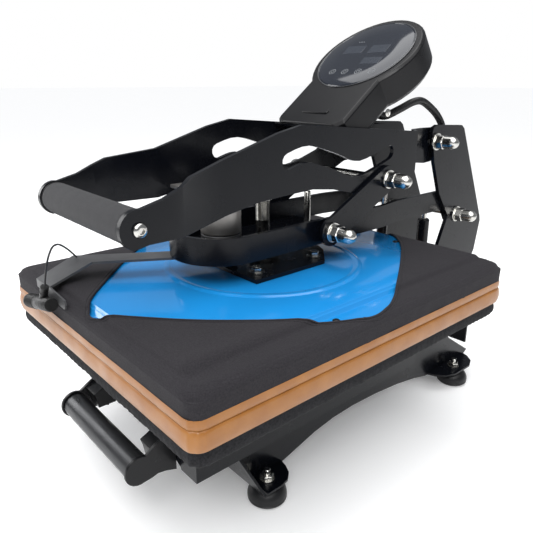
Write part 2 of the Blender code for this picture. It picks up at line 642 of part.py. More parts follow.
def along(a, b, steps, n=20):
    """Turned piece on a free axis: steps of (share of the way, radius)."""
    line = b - a
    way = line.normalized()
    side = way.orthogonal().normalized()
    other = way.cross(side)
    rings = []
    for t, r in steps:
        mid = a + line * t
        rings.append([tuple(mid + (side * math.cos(2 * math.pi * i / n)
                                   + other * math.sin(2 * math.pi * i / n)) * r)
                      for i in range(n)])
    return loft(rings)


LASER_MID = LASER_A.lerp(LASER_B, 0.72)
laser = make("laser_module", along(LASER_A, LASER_B, (
    (0.0, 0.0070), (0.03, 0.0086), (0.42, 0.0086), (0.45, 0.0068), (0.56, 0.0068),
    (0.60, 0.0080), (0.97, 0.0080), (1.0, 0.0070))), "plastic", smooth=True)
join(laser, along(Vector((-0.0720, -0.2602, 0.2335)), Vector((-0.0590, -0.2602, 0.2560)),
                  ((0.0, 0.0046), (1.0, 0.0046)), 14))
for v in laser.data.vertices:
    v.co -= LASER_MID
laser.location = LASER_MID
tube("laser_wire", [(-0.0583, -0.2600, 0.2575), (-0.0570, -0.2590, 0.2660),
                    (-0.0560, -0.2560, 0.2800), (-0.0580, -0.2510, 0.2910),
                    (-0.0640, -0.2440, 0.2965), (-0.0740, -0.2340, 0.2945),
                    (-0.0860, -0.2220, 0.2850), (-0.0980, -0.2120, 0.2750),
                    (-0.1030, -0.2050, 0.2670)], 0.0011, "rubber", 2)

# ---------------------------------------------------------------- handle
top_edge = [(-0.2204, 0.3614), (-0.1968, 0.3671), (-0.1776, 0.3754), (-0.1644, 0.3820),
            (-0.1108, 0.3906), (-0.0633, 0.4045), (-0.0350, 0.4126), (0.0011, 0.4195),
            (0.0777, 0.4125), (0.2256, 0.4000), (0.2640, 0.4010), (0.3000, 0.4005),
            (0.3080, 0.3950), (0.3110, 0.3850), (0.3080, 0.3710), (0.3000, 0.3580),
            (0.2900, 0.3510)]
low_edge = [(0.2723, 0.3500), (0.2427, 0.3533), (0.2176, 0.3431), (0.1950, 0.3330),
            (0.1602, 0.3262), (0.1250, 0.3270), (0.0916, 0.3309), (0.0550, 0.3400),
            (0.0185, 0.3446), (-0.0266, 0.3428), (-0.0664, 0.3405), (-0.1126, 0.3323),
            (-0.1858, 0.3283), (-0.2147, 0.3283)]
nose = arc(GRIP[0], GRIP[1], 0.0188, 250, 96, 12)
outline = top_edge + low_edge + nose
SLOT = offset_path([(-0.0210, 0.3807), (0.0105, 0.3865), (0.0560, 0.3740),
                    (0.1020, 0.3610), (0.1620, 0.3765)], 0.0094)
for tag, s in (("l", -1), ("r", 1)):
    t = FLAT
    plan = [(HANDLE_WIDE, -0.2600), (HANDLE_WIDE, -0.1780), (HANDLE_OUT, -0.1110),
            (HANDLE_OUT, 0.2250), (HANDLE_REAR, 0.2430), (HANDLE_REAR, 0.3300),
            (HANDLE_REAR - t, 0.3300), (HANDLE_REAR - t, 0.2430), (HANDLE_OUT - t, 0.2250),
            (HANDLE_OUT - t, -0.1110), (HANDLE_WIDE - t, -0.1780), (HANDLE_WIDE - t, -0.2600)]
    side = make("handle_plate_" + tag, prism("z", mirrored(plan, s), 0.3000, 0.4400), "black")
    combine(side, prism("x", outline, s * 0.03, s * 0.12) if s > 0
            else prism("x", outline, -0.12, -0.03), "INTERSECT")
    lo, hi = span(s, 0.03, 0.12)
    cut(side, prism("x", SLOT, lo, hi))
    hole(side, "x", P2[0], P2[1], 0.0055, lo, hi)
    hole(side, "x", P3[0], P3[1], 0.0060, lo, hi)
    hole(side, "x", GRIP[0], GRIP[1], 0.0040, lo, hi, 12)
    for v in side.data.vertices:
        v.co -= Vector(PIV3)
    side.location = PIV3

deck = [(0.0750, 0.4118), (0.2220, 0.3994), (0.2220, 0.3964), (0.0750, 0.4088)]
make("handle_top_web", prism("x", deck, -0.0627, 0.0627), "black", pivot=PIV3)
keeper = turned("z", 0.0, -0.0660, [
    (0.2950, 0.0238, 0), (0.2957, 0.0245, 0), (0.3240, 0.0245, 0), (0.3247, 0.0238, 0),
    (0.3247, 0.0060, 0), (0.3430, 0.0060, 0)], 32)
hang = make("armature", keeper, "zinc", pivot=PIV3, smooth=True)
piece = box(-0.0627, 0.0627, -0.0950, -0.0400, 0.3425, 0.3465)
for v in piece.verts:
    v.co -= Vector(PIV3)
for ob in (hang,):
    ob.location = (0.0, 0.0, 0.0)
join(hang, piece)
hang.location = PIV3
core = [(-0.1010, 0.0040, 0), (-0.1005, 0.0062, 0), (-0.0966, 0.0070, 0), (-0.0966, 0.0035, 0),
        (-0.0898, 0.0035, 0), (-0.0898, 0.0128, 0), (0.0898, 0.0128, 0), (0.0898, 0.0035, 0),
        (0.0966, 0.0035, 0), (0.0966, 0.0070, 0), (0.1005, 0.0062, 0), (0.1010, 0.0040, 0)]
make("grip_core", turned("x", GRIP[0], GRIP[1], core, 20), "steel", pivot=PIV3, smooth=True)
foam_out = circle(GRIP[0], GRIP[1], 0.0171, 32)
foam_in = circle(GRIP[0], GRIP[1], 0.0131, 32)
foam = hoop([
    [(-0.0896, y, z) for y, z in foam_in], [(-0.0896, y, z) for y, z in foam_out],
    [(0.0896, y, z) for y, z in foam_out], [(0.0896, y, z) for y, z in foam_in]])
make("foam_grip", foam, "foam", pivot=PIV3, smooth=True)
steps = list(reversed(nut_steps(0.0748, -1))) + [(-0.0748, 0.0050, 0), (0.0748, 0.0050, 0)]
steps += nut_steps(0.0748, 1)
make("handle_pin", turned("x", P2[0], P2[1], steps, 18), "steel", pivot=PIV3, smooth=True)

# ---------------------------------------------------------------- controller
def on_face(u, w, n):
    c = math.cos(FACE_TILT)
    s = math.sin(FACE_TILT)
    return (FACE_CENTRE.x + u, FACE_CENTRE.y + w * c - n * s, FACE_CENTRE.z + w * s + n * c)


def dial(r, neck, end):
    """Round head with a straight neck; same point count for every offset."""
    a = math.degrees(math.asin(neck / r))
    pts = arc(0.0, 0.0, r, -90 + a, 270 - a, 32)
    pts += [(-neck, end + 0.010), (-neck + 0.010, end), (neck - 0.010, end),
            (neck, end + 0.010)]
    return pts


shell = [
    [on_face(u, w, 0.0) for u, w in dial(0.0775, 0.0560, -0.1405)],
    [on_face(u, w, -0.0035) for u, w in dial(0.0810, 0.0595, -0.1440)],
    [on_face(u, w, -0.0380) for u, w in dial(0.0810, 0.0595, -0.1440)],
    [on_face(u, w, -0.0450) for u, w in dial(0.0750, 0.0535, -0.1380)],
]
housing = make("controller_housing", loft(shell), "plastic", smooth=True)
under = [(0.0000, 0.3000), (0.0000, 0.4185), (0.0750, 0.4121), (0.2280, 0.3993),
         (0.3000, 0.3993), (0.3000, 0.3000)]
cut(housing, prism("x", under, -0.1, 0.1))
for v in housing.data.vertices:
    v.co -= Vector(PIV3)
housing.location = PIV3
lens = [[on_face(u, w, 0.0003) for u, w in circle(0.0, 0.0, 0.0677, 40)],
        [on_face(u, w, 0.0014) for u, w in circle(0.0, 0.0, 0.0677, 40)]]
make("controller_glass", loft(lens), "glass", pivot=PIV3)
tube("conduit", [(0.030, 0.1735, 0.4334), (0.030, 0.1800, 0.4250), (0.030, 0.1900, 0.4205),
                 (0.030, 0.2050, 0.4205), (0.030, 0.2350, 0.4285), (0.030, 0.2630, 0.4365),
                 (0.030, 0.2850, 0.4375), (0.030, 0.3080, 0.4285), (0.030, 0.3300, 0.4155),
                 (0.030, 0.3460, 0.4000), (0.030, 0.3530, 0.3850)], 0.0055, "rubber", 3,
     pivot=PIV3)

# ---------------------------------------------------------------- links
way = math.degrees(math.atan2(P2[1] - P1[1], P2[0] - P1[0]))
strap = arc(P1[0], P1[1], 0.0180, way + 90, way + 270, 12)
strap += arc(P2[0], P2[1], 0.0180, way - 90, way + 90, 12)
for tag, s in (("l", -1), ("r", 1)):
    lo, hi = span(s, 0.0695, 0.0745)
    bar = make("link_" + tag, prism("x", strap, lo, hi), "black")
    hole(bar, "x", P2[0], P2[1], 0.0056, lo - 0.01, hi + 0.01)
    stub = [(s * 0.0606, 0.0058, 0), (s * 0.0740, 0.0058, 0)]
    stub += nut_steps(0.0740, s)
    join(bar, turned("x", P1[0], P1[1], stub, 18))
    for v in bar.data.vertices:
        v.co -= Vector(PIV2)
    bar.location = PIV2

for name in ("electromagnet", "pressure_screw"):
    ob = bpy.data.objects[name]
    pivot = Vector(PIV4) if name == "electromagnet" else Vector((0.0, 0.0, 0.27))
    for v in ob.data.vertices:
        v.co -= pivot
    ob.location = pivot

for ob in bpy.data.objects:
    ob.location.y -= ORIGIN_Y
bpy.context.view_layer.update()
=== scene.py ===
"""Looks of the heat press: materials, soft covers, fine metalwork and cords.

Metres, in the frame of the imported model: +Z up, the press faces -Y, and the
origin lies on the floor under the middle of the press.
"""
import json
import math

import bmesh
import bpy
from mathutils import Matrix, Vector, noise


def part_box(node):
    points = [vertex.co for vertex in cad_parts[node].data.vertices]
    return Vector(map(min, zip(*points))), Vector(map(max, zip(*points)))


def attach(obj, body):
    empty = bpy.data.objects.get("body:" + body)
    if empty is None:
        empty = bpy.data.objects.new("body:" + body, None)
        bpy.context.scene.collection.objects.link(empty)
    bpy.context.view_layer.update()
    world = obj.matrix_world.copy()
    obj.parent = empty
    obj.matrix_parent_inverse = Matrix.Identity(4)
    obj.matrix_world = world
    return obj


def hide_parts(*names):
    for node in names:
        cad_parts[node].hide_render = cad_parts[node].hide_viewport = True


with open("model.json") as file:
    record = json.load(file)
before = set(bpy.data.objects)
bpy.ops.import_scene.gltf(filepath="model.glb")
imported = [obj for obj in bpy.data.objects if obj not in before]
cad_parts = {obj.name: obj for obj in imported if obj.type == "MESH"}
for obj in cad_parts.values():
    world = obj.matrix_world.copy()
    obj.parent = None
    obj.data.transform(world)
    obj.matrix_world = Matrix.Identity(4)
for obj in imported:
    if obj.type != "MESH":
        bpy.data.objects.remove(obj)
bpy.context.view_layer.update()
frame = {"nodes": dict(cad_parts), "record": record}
NODES = frame["nodes"]
BODY_OF = {}
for body_name, members in frame["record"]["behaviour"]["bodies"].items():
    for member in members:
        BODY_OF[member] = body_name

# ---------------------------------------------------------------- camera
camera = bpy.data.objects.new("camera", bpy.data.cameras.new("camera"))
bpy.context.scene.collection.objects.link(camera)
camera.location = (0.5099, -0.5294, 0.4656)
camera.rotation_euler = (math.radians(71.09), 0.0, math.radians(48.87))
camera.data.lens = 36.57
camera.data.sensor_width = 36.0
camera.data.clip_start = 0.01
bpy.context.scene.camera = camera


def mid(node):
    low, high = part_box(node)
    return (low + high) / 2


CONTACT_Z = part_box("upper_cover_ptfe")[0].z      # underside of the heated head
LOW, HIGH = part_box("upper_cover_fabric")
HALF_X = HIGH.x
HALF_Y = (HIGH.y - LOW.y) / 2
MID_Y = (HIGH.y + LOW.y) / 2                     # centre of the platens


# ---------------------------------------------------------------- materials
def surface(name, base, rough, metallic=0.0, coat=0.0, bumps=(), mottle=None,
            rough_vary=None, specular=0.5, sheen=0.0, weave=None, brushed=None):
    """Procedural material. bumps: (scale, strength, distance) noise layers.
    mottle: (scale, second colour, share). rough_vary: (scale, low, high).
    weave: (pitch, strength). brushed: (axis stretch, strength)."""
    mat = bpy.data.materials.new(name)
    mat.use_nodes = True
    mat.diffuse_color = (base[0], base[1], base[2], 1.0)
    tree = mat.node_tree
    shader = tree.nodes["Principled BSDF"]
    shader.inputs["Base Color"].default_value = (base[0], base[1], base[2], 1.0)
    shader.inputs["Roughness"].default_value = rough
    shader.inputs["Metallic"].default_value = metallic
    shader.inputs["Specular IOR Level"].default_value = specular
    shader.inputs["Coat Weight"].default_value = coat
    shader.inputs["Coat Roughness"].default_value = 0.08
    shader.inputs["Sheen Weight"].default_value = sheen
    coord = tree.nodes.new("ShaderNodeTexCoord")

    def noise_node(scale, detail=3.0, vector=None):
        tex = tree.nodes.new("ShaderNodeTexNoise")
        tex.inputs["Scale"].default_value = scale
        tex.inputs["Detail"].default_value = detail
        tree.links.new(vector or coord.outputs["Object"], tex.inputs["Vector"])
        return tex

    if mottle:
        scale, other, share = mottle
        tex = noise_node(scale, 5.0)
        ramp = tree.nodes.new("ShaderNodeValToRGB")
        ramp.color_ramp.elements[0].position = 0.5 - share / 2
        ramp.color_ramp.elements[1].position = 0.5 + share / 2
        ramp.color_ramp.elements[0].color = (base[0], base[1], base[2], 1.0)
        ramp.color_ramp.elements[1].color = (other[0], other[1], other[2], 1.0)
        tree.links.new(tex.outputs["Fac"], ramp.inputs["Fac"])
        tree.links.new(ramp.outputs["Color"], shader.inputs["Base Color"])
    if rough_vary:
        scale, low, high = rough_vary
        tex = noise_node(scale, 4.0)
        span = tree.nodes.new("ShaderNodeMapRange")
        span.inputs["From Min"].default_value = 0.3
        span.inputs["From Max"].default_value = 0.7
        span.inputs["To Min"].default_value = low
        span.inputs["To Max"].default_value = high
        tree.links.new(tex.outputs["Fac"], span.inputs["Value"])
        tree.links.new(span.outputs["Result"], shader.inputs["Roughness"])
    height = []
    for scale, strength, distance in bumps:
        height.append((noise_node(scale).outputs["Fac"], strength, distance))
    if brushed:
        stretch, strength = brushed
        mapping = tree.nodes.new("ShaderNodeMapping")
        mapping.inputs["Scale"].default_value = stretch
        tree.links.new(coord.outputs["Object"], mapping.inputs["Vector"])
        tex = noise_node(1.0, 6.0, mapping.outputs["Vector"])
        height.append((tex.outputs["Fac"], strength, 0.0002))
    if weave:
        pitch, strength = weave
        for axis in ("X", "Y", "Z"):
            wave = tree.nodes.new("ShaderNodeTexWave")
            wave.wave_type = "BANDS"
            wave.bands_direction = axis
            wave.inputs["Scale"].default_value = 0.314 / pitch
            wave.inputs["Distortion"].default_value = 0.6
            wave.inputs["Detail"].default_value = 2.0
            tree.links.new(coord.outputs["Object"], wave.inputs["Vector"])
            height.append((wave.outputs["Fac"], strength, 0.0002))
    last = None
    for value, strength, distance in height:
        bump = tree.nodes.new("ShaderNodeBump")
        bump.inputs["Strength"].default_value = strength
        bump.inputs["Distance"].default_value = distance
        tree.links.new(value, bump.inputs["Height"])
        if last:
            tree.links.new(last.outputs["Normal"], bump.inputs["Normal"])
        last = bump
    if last:
        tree.links.new(last.outputs["Normal"], shader.inputs["Normal"])
    return mat


BLACK = surface("powder_black", (0.0030, 0.0036, 0.0056), 0.27, coat=0.05, specular=0.20,
                bumps=((900.0, 0.05, 0.0002), (60.0, 0.05, 0.0006)), rough_vary=(35.0, 0.18, 0.30))
BLUE = surface("blue_enamel", (0.010, 0.235, 0.62), 0.16, coat=0.6,
               bumps=((140.0, 0.03, 0.0004),), mottle=(5.0, (0.014, 0.27, 0.67), 0.5),
               rough_vary=(25.0, 0.12, 0.22))
STEEL = surface("nickel_steel", (0.62, 0.61, 0.58), 0.20, metallic=1.0,
                bumps=((400.0, 0.05, 0.0002),), rough_vary=(90.0, 0.14, 0.30))
ZINC = surface("satin_zinc", (0.40, 0.385, 0.37), 0.42, metallic=0.85,
               bumps=((300.0, 0.10, 0.0002),), rough_vary=(60.0, 0.34, 0.50),
               brushed=((1500.0, 1500.0, 60.0), 0.15))
ALUMINIUM = surface("brushed_aluminium", (0.33, 0.34, 0.36), 0.30, metallic=1.0,
                    rough_vary=(40.0, 0.26, 0.38), brushed=((20.0, 2200.0, 2200.0), 0.2))
RUBBER = surface("foot_rubber", (0.009, 0.009, 0.010), 0.34, specular=0.35,
                 bumps=((700.0, 0.12, 0.0002),), rough_vary=(40.0, 0.30, 0.46))
HOSE = surface("hose_plastic", (0.012, 0.012, 0.013), 0.35,
               bumps=((600.0, 0.08, 0.0002),), rough_vary=(80.0, 0.28, 0.42))
FOAM = surface("grip_foam", (0.020, 0.020, 0.022), 0.95, sheen=0.06,
               bumps=((1600.0, 0.55, 0.0005), (260.0, 0.20, 0.0006)),
               mottle=(900.0, (0.036, 0.036, 0.039), 0.35))
CLOTH = surface("elastic_cloth", (0.020, 0.0185, 0.0215), 0.95, sheen=0.04, specular=0.15,
                bumps=((1500.0, 0.30, 0.0003),), weave=(0.0011, 0.30),
                mottle=(700.0, (0.034, 0.032, 0.036), 0.45))
SKIRT = surface("skirt_cloth", (0.008, 0.008, 0.009), 0.9, sheen=0.03, specular=0.15,
                bumps=((1200.0, 0.30, 0.0003),), weave=(0.0013, 0.35),
                mottle=(500.0, (0.024, 0.024, 0.027), 0.4))
PTFE = surface("coated_glass_cloth", (0.27, 0.098, 0.016), 0.30, coat=0.12,
               bumps=((55.0, 0.12, 0.0010), (900.0, 0.08, 0.0002)), weave=(0.0009, 0.10),
               mottle=(38.0, (0.37, 0.155, 0.034), 0.55), rough_vary=(30.0, 0.28, 0.46))
SILICONE = surface("silicone_pad", (0.50, 0.09, 0.05), 0.6, bumps=((500.0, 0.3, 0.0003),),
                   mottle=(120.0, (0.58, 0.13, 0.08), 0.5))
PLASTIC = surface("moulded_plastic", (0.006, 0.006, 0.007), 0.34, coat=0.03, specular=0.25,
                  bumps=((1100.0, 0.08, 0.0002),), rough_vary=(30.0, 0.26, 0.38))
GREY = surface("grey_strap", (0.060, 0.061, 0.064), 0.38, bumps=((900.0, 0.12, 0.0002),),
               mottle=(60.0, (0.080, 0.081, 0.084), 0.5), rough_vary=(40.0, 0.36, 0.50))
KNURL = surface("knurled_black", (0.010, 0.010, 0.010), 0.4, specular=0.3,
                bumps=((420.0, 0.7, 0.0006),), rough_vary=(200.0, 0.3, 0.5))
PANEL = surface("touch_panel", (0.010, 0.013, 0.020), 0.07, coat=0.5,
                mottle=(9.0, (0.014, 0.017, 0.026), 0.6), rough_vary=(12.0, 0.05, 0.10))
DISPLAY = surface("display_window", (0.030, 0.035, 0.046), 0.12,
                  mottle=(300.0, (0.036, 0.042, 0.054), 0.5))
MARKS = surface("printed_marks", (0.16, 0.17, 0.18), 0.4, mottle=(400.0, (0.2, 0.21, 0.22), 0.5))

FINISH = {"black": BLACK, "steel": STEEL, "zinc": ZINC, "aluminium": ALUMINIUM,
          "rubber": RUBBER, "plastic": PLASTIC, "silicone": SILICONE, "grey": GREY,
          "cloth": CLOTH, "ptfe": PTFE, "blue": BLUE, "foam": FOAM, "glass": PANEL}
SLOT_OF = {s["node"]: s["material_slot"] for s in frame["record"]["subparts"]}
for name, ob in NODES.items():
    ob.data.materials.clear()
    ob.data.materials.append(FINISH[SLOT_OF[name]])


# ---------------------------------------------------------------- mesh helpers
def piece(name, bm, mat, node, replace=True, smooth=35.0):
    """Turns a bmesh into a piece that rides with the node's body."""
    mesh = bpy.data.meshes.new(name)
    bmesh.ops.recalc_face_normals(bm, faces=bm.faces)
    bm.to_mesh(mesh)
    bm.free()
    ob = bpy.data.objects.new(name, mesh)
    bpy.context.scene.collection.objects.link(ob)
    mesh.materials.append(mat)
    mesh.shade_smooth()
    mesh.set_sharp_from_angle(angle=math.radians(smooth))
    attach(ob, BODY_OF[node])
    if replace:
        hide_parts(node)
    return ob


def bake(ob):
    """Applies the modifiers of a piece."""
    graph = bpy.context.evaluated_depsgraph_get()
    mesh = bpy.data.meshes.new_from_object(ob.evaluated_get(graph))
    ob.modifiers.clear()
    ob.data = mesh
    return ob


def refine(node, width=0.0006, segments=2, mat=None, angle=28.0):
    """Copy of a CAD node with its sharp edges rounded."""
    bm = bmesh.new()
    bm.from_mesh(NODES[node].data)
    bmesh.ops.remove_doubles(bm, verts=bm.verts, dist=0.00002)
    bmesh.ops.dissolve_limit(bm, angle_limit=math.radians(1.0), verts=bm.verts, edges=bm.edges)
    ob = piece(node + "_finish", bm, mat or FINISH[SLOT_OF[node]], node, smooth=180.0)
    mod = ob.modifiers.new("edge", "BEVEL")
    mod.width = width
    mod.segments = segments
    mod.limit_method = "ANGLE"
    mod.angle_limit = math.radians(angle)
    even = ob.modifiers.new("even", "WEIGHTED_NORMAL")
    even.weight = 100
    even.keep_sharp = False
    bake(ob)
    return ob


def place(axis, u, v, w):
    if axis == "x":
        return Vector((w, u, v))
    if axis == "y":
        return Vector((u, w, v))
    return Vector((u, v, w))


def rings_to_bm(bm, rings, caps=(True, True), wrap=True):
    rows = [[bm.verts.new(p) for p in ring] for ring in rings]
    n = len(rows[0])
    last = n if wrap else n - 1
    for k in range(len(rows) - 1):
        for i in range(last):
            j = (i + 1) % n
            bm.faces.new((rows[k][i], rows[k][j], rows[k + 1][j], rows[k + 1][i]))
    if caps[0]:
        bm.faces.new(rows[0])
    if caps[1]:
        bm.faces.new(rows[-1])
    return rows


def lathe(bm, axis, cu, cv, steps, n=40):
    """Turned shape: steps of (position, radius, kind); kind 1 is hexagonal."""
    rings = []
    for pos, r, kind in steps:
        ring = []
        for i in range(n):
            a = 2.0 * math.pi * i / n
            rad = r
            if kind == 1:
                rad = r / math.cos(a % (math.pi / 3.0) - math.pi / 6.0)
            ring.append(place(axis, cu + rad * math.cos(a), cv + rad * math.sin(a), pos))
        rings.append(ring)
    rings_to_bm(bm, rings)


def acorn(start, sign):
    """Washer, hexagon and dome of an acorn nut, outward from start."""
    steps = [(0.0, 0.0120, 0), (0.0003, 0.0125, 0), (0.0026, 0.0125, 0), (0.0030, 0.0121, 0),
             (0.0030, 0.0090, 1), (0.0036, 0.0096, 1), (0.0139, 0.0096, 1),
             (0.0148, 0.0089, 1), (0.0150, 0.0086, 0), (0.0154, 0.0092, 0)]
    for k in range(11):
        a = math.radians(9.0 * k)
        steps.append((0.0250 + 0.0112 * math.sin(a), max(0.0004, 0.0092 * math.cos(a)), 0))
    return [(sign * (start + p), r, k) for p, r, k in steps]


def arc(cu, cv, r, a0, a1, n):
    return [(cu + r * math.cos(math.radians(a0 + (a1 - a0) * i / n)),
             cv + r * math.sin(math.radians(a0 + (a1 - a0) * i / n))) for i in range(n + 1)]


def fuzz(x, y, z, scale, seed=0.0):
    """Smooth noise between -1 and 1."""
    return noise.noise(Vector((x * scale + seed, y * scale - seed, z * scale + 2.0 * seed)))


# ---------------------------------------------------------------- cords
CONDUIT = [(0.030, 0.0830, 0.4334), (0.030, 0.0895, 0.4250), (0.030, 0.0995, 0.4205),
           (0.030, 0.1145, 0.4205), (0.030, 0.1445, 0.4285), (0.030, 0.1725, 0.4365),
           (0.030, 0.1945, 0.4375), (0.030, 0.2175, 0.4285), (0.030, 0.2395, 0.4155),
           (0.030, 0.2555, 0.4000), (0.030, 0.2625, 0.3850)]
WIRE = [(-0.0583, -0.3505, 0.2575), (-0.0570, -0.3495, 0.2660), (-0.0560, -0.3465, 0.2800),
        (-0.0580, -0.3415, 0.2910), (-0.0640, -0.3345, 0.2965), (-0.0740, -0.3245, 0.2945),
        (-0.0860, -0.3125, 0.2850), (-0.0980, -0.3025, 0.2750), (-0.1030, -0.2955, 0.2670)]


def smooth_path(points, step):
    """Even points on a smooth curve through the given ones."""
    pts = [Vector(p) for p in points]
    fine = []
    for i in range(len(pts) - 1):
        a = pts[max(i - 1, 0)]
        b = pts[i]
        c = pts[i + 1]
        d = pts[min(i + 2, len(pts) - 1)]
        for k in range(12):
            t = k / 12
            fine.append(0.5 * ((2 * b) + (c - a) * t + (2 * a - 5 * b + 4 * c - d) * t * t
                               + (3 * b - a - 3 * c + d) * t ** 3))
    fine.append(pts[-1])
    total = sum((b - a).length for a, b in zip(fine, fine[1:]))
    count = max(4, round(total / step))
    out = [fine[0]]
    walked = 0.0
    k = 0
    for i in range(1, count):
        want = total * i / count
        while walked + (fine[k + 1] - fine[k]).length < want:
            walked += (fine[k + 1] - fine[k]).length
            k += 1
        seg = fine[k + 1] - fine[k]
        out.append(fine[k] + seg * ((want - walked) / seg.length))
    out.append(fine[-1])
    return out


def sweep(bm, path, radius_at, n=14):
    """Tube along a path with a radius that varies from ring to ring."""
    normal = Vector((1.0, 0.0, 0.0))
    rings = []
    for i, p in enumerate(path):
        t = (path[min(i + 1, len(path) - 1)] - path[max(i - 1, 0)]).normalized()
        normal = (normal - t * normal.dot(t)).normalized()
        other = t.cross(normal)
        r = radius_at(i)
        rings.append([p + (normal * math.cos(2 * math.pi * k / n)
                           + other * math.sin(2 * math.pi * k / n)) * r for k in range(n)])
    rings_to_bm(bm, rings)


path = smooth_path(CONDUIT, 0.0009)
bm = bmesh.new()
sweep(bm, path, lambda i: (0.0055, 0.0055, 0.0048, 0.0048)[i % 4], 18)
conduit = piece("conduit_hose", bm, HOSE, "conduit", smooth=60.0)
path = smooth_path(WIRE, 0.002)
bm = bmesh.new()
sweep(bm, path, lambda i: 0.0011, 10)
wire = piece("laser_lead", bm, HOSE, "laser_wire", smooth=60.0)

# ---------------------------------------------------------------- flat metalwork
for node in ("upright_l", "upright_r", "handle_plate_l", "handle_plate_r", "lift_arm"):
    refine(node, 0.0007, 2)
for node in ("base_side_plate_l", "base_side_plate_r", "base_front_plate", "base_rear_plate",
             "drawer_tray", "handle_top_web"):
    refine(node, 0.0005, 2)
refine("head_plate", 0.0005, 2)
for node in ("slide_rail_fixed_l", "slide_rail_fixed_r", "slide_rail_moving_l",
             "slide_rail_moving_r"):
    refine(node, 0.0003, 1)
for node in ("drawer_handle_bracket_l", "drawer_handle_bracket_r", "power_inlet_box",
             "power_rocker"):
    refine(node, 0.0008, 3)
refine("laser_strap", 0.0004, 2)
DARK_TUBE = surface("dark_anodised", (0.050, 0.051, 0.054), 0.32, metallic=0.7,
                    rough_vary=(40.0, 0.26, 0.40), brushed=((20.0, 2200.0, 2200.0), 0.2))
refine("drawer_handle_tube", 0.0010, 2, DARK_TUBE, angle=50.0)


# ---------------------------------------------------------------- pins and nuts
for node in ("upper_axle", "lower_axle", "handle_pin"):
    low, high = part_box(node)
    centre = mid(node)
    half = high.x - 0.0362
    bm = bmesh.new()
    steps = list(reversed(acorn(half, -1))) + [(-half, 0.0052, 0), (half, 0.0052, 0)]
    lathe(bm, "x", centre.y, centre.z, steps + acorn(half, 1))
    piece(node + "_bright", bm, STEEL, node)
for tag, s in (("l", -1), ("r", 1)):
    node = "link_" + tag
    low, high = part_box(node)
    ob = refine(node, 0.0006, 2)
    ob.name = "link_bar_" + tag
    tip = max(abs(low.x), abs(high.x))
    outer_face = tip - 0.0362
    bm = bmesh.new()
    bm.from_mesh(ob.data)
    beyond = [v for v in bm.verts if abs(v.co.x) > outer_face + 0.0007]
    bmesh.ops.delete(bm, geom=beyond, context="VERTS")
    bmesh.ops.holes_fill(bm, edges=[e for e in bm.edges if e.is_boundary], sides=80)
    bm.to_mesh(ob.data)
    bm.free()
    pivot_y = low.y + 0.018
    pivot_z = low.z + 0.018
    bm = bmesh.new()
    lathe(bm, "x", pivot_y, pivot_z, [(s * (outer_face - 0.001), 0.0110, 0)]
          + acorn(outer_face + 0.0005, s))
    piece("link_nut_" + tag, bm, STEEL, node, replace=False)

for i in range(4):
    node = "head_bolt_%d" % (i + 1)
    c = mid(node)
    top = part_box(node)[1].z
    base = top - 0.0075
    bm = bmesh.new()
    lathe(bm, "z", c.x, c.y, [
        (base - 0.030, 0.0040, 0), (base, 0.0040, 0), (base, 0.0085, 0), (base + 0.0003, 0.0088, 0),
        (base + 0.0013, 0.0088, 0), (base + 0.0016, 0.0084, 0), (base + 0.0016, 0.0062, 1),
        (base + 0.0064, 0.0062, 1), (base + 0.0070, 0.0057, 1), (base + 0.0073, 0.0052, 0),
        (base + 0.0073, 0.0038, 0), (base + 0.0071, 0.0034, 0)], 48)
    piece("head_bolt_bright_%d" % (i + 1), bm, STEEL, node)

# ---------------------------------------------------------------- feet
for node in ("foot_front_l", "foot_front_r", "foot_rear_l", "foot_rear_r"):
    c = mid(node)
    bm = bmesh.new()
    steps = [(0.0, 0.0192, 0), (0.0006, 0.0205, 0), (0.0030, 0.0230, 0), (0.0044, 0.0233, 0),
             (0.0048, 0.0228, 0), (0.0056, 0.0228, 0), (0.0060, 0.0234, 0)]
    for k in range(12):
        a = math.radians(7.5 * k)
        steps.append((0.0075 + 0.0140 * math.sin(a), 0.0085 + 0.0149 * math.cos(a) ** 0.9, 0))
    steps += [(0.0222, 0.0088, 0), (0.0237, 0.0086, 0)]
    lathe(bm, "z", c.x, c.y, steps, 56)
    piece(node + "_pad", bm, RUBBER, node)
    bm = bmesh.new()
    lathe(bm, "z", c.x, c.y, [
        (0.0230, 0.0040, 0), (0.0273, 0.0040, 0), (0.0273, 0.0092, 0), (0.0283, 0.0092, 0),
        (0.0283, 0.0066, 1), (0.0288, 0.0070, 1), (0.0325, 0.0070, 1), (0.0330, 0.0064, 1),
        (0.0330, 0.0040, 0), (0.0394, 0.0040, 0), (0.0400, 0.0034, 0)], 48)
    piece(node + "_stud", bm, STEEL, node, replace=False)


def threads(z0, z1, r, pitch, depth):
    """Ring steps that read as a screw thread."""
    steps = []
    z = z0
    while z + pitch < z1:
        steps += [(z, r - depth, 0), (z + 0.5 * pitch, r, 0)]
        z += pitch
    return steps


